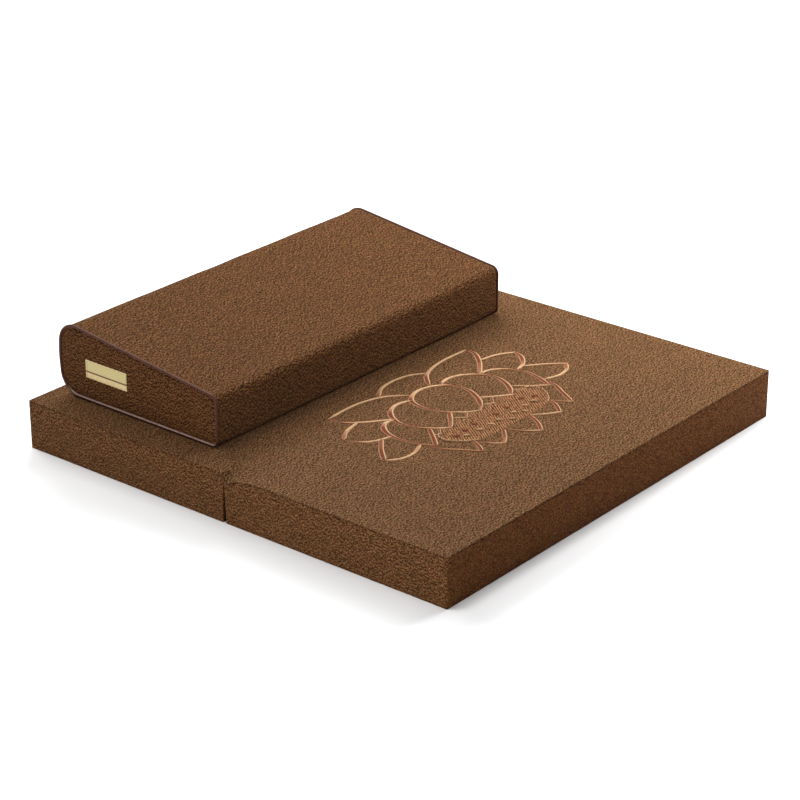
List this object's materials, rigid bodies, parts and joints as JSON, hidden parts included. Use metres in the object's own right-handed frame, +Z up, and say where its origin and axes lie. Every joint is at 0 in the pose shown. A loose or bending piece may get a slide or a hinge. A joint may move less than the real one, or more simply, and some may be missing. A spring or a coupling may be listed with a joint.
{
  "type": "folding meditation mat with wedge cushion",
  "caption": "Folding foam meditation mat in a brown woven cover with a notch under its fold, and a wedge cushion with piped ends lying on its back half.",
  "frame": {"origin": "centre of the mat's underside, on the floor", "axes": "+Z up, +X along the fold, -Y towards the front half with the lotus, +Y towards the half that carries the wedge cushion"},
  "size_m": [0.8044, 0.8044, 0.1959],
  "materials": {
    "mat_top_cloth": "brown melange linen-look weave, matt",
    "mat_side_cloth": "the same brown melange weave on the side walls, matt",
    "wedge_cloth": "the same brown melange weave, drawn tight over the wedge, matt",
    "wedge_end_cloth": "the same brown melange weave on the wedge's ends, matt",
    "piping": "plum-brown covered cord, slightly glossy",
    "label": "khaki woven tape with a thin rust line, satin",
    "embroidery_thread": "copper to rust rayon thread, glossy along its lie"
  },
  "bodies": {
    "root": {"mat_top_cloth": "mat_top_cloth", "mat_front_block": "mat_side_cloth", "mat_back_block": "mat_side_cloth", "wedge_cushion": "wedge_cloth", "wedge_end_panel_left": "wedge_end_cloth", "wedge_end_panel_right": "wedge_end_cloth", "wedge_piping_left": "piping", "wedge_piping_right": "piping", "wedge_label": "label"}
  },
  "joints": []
}
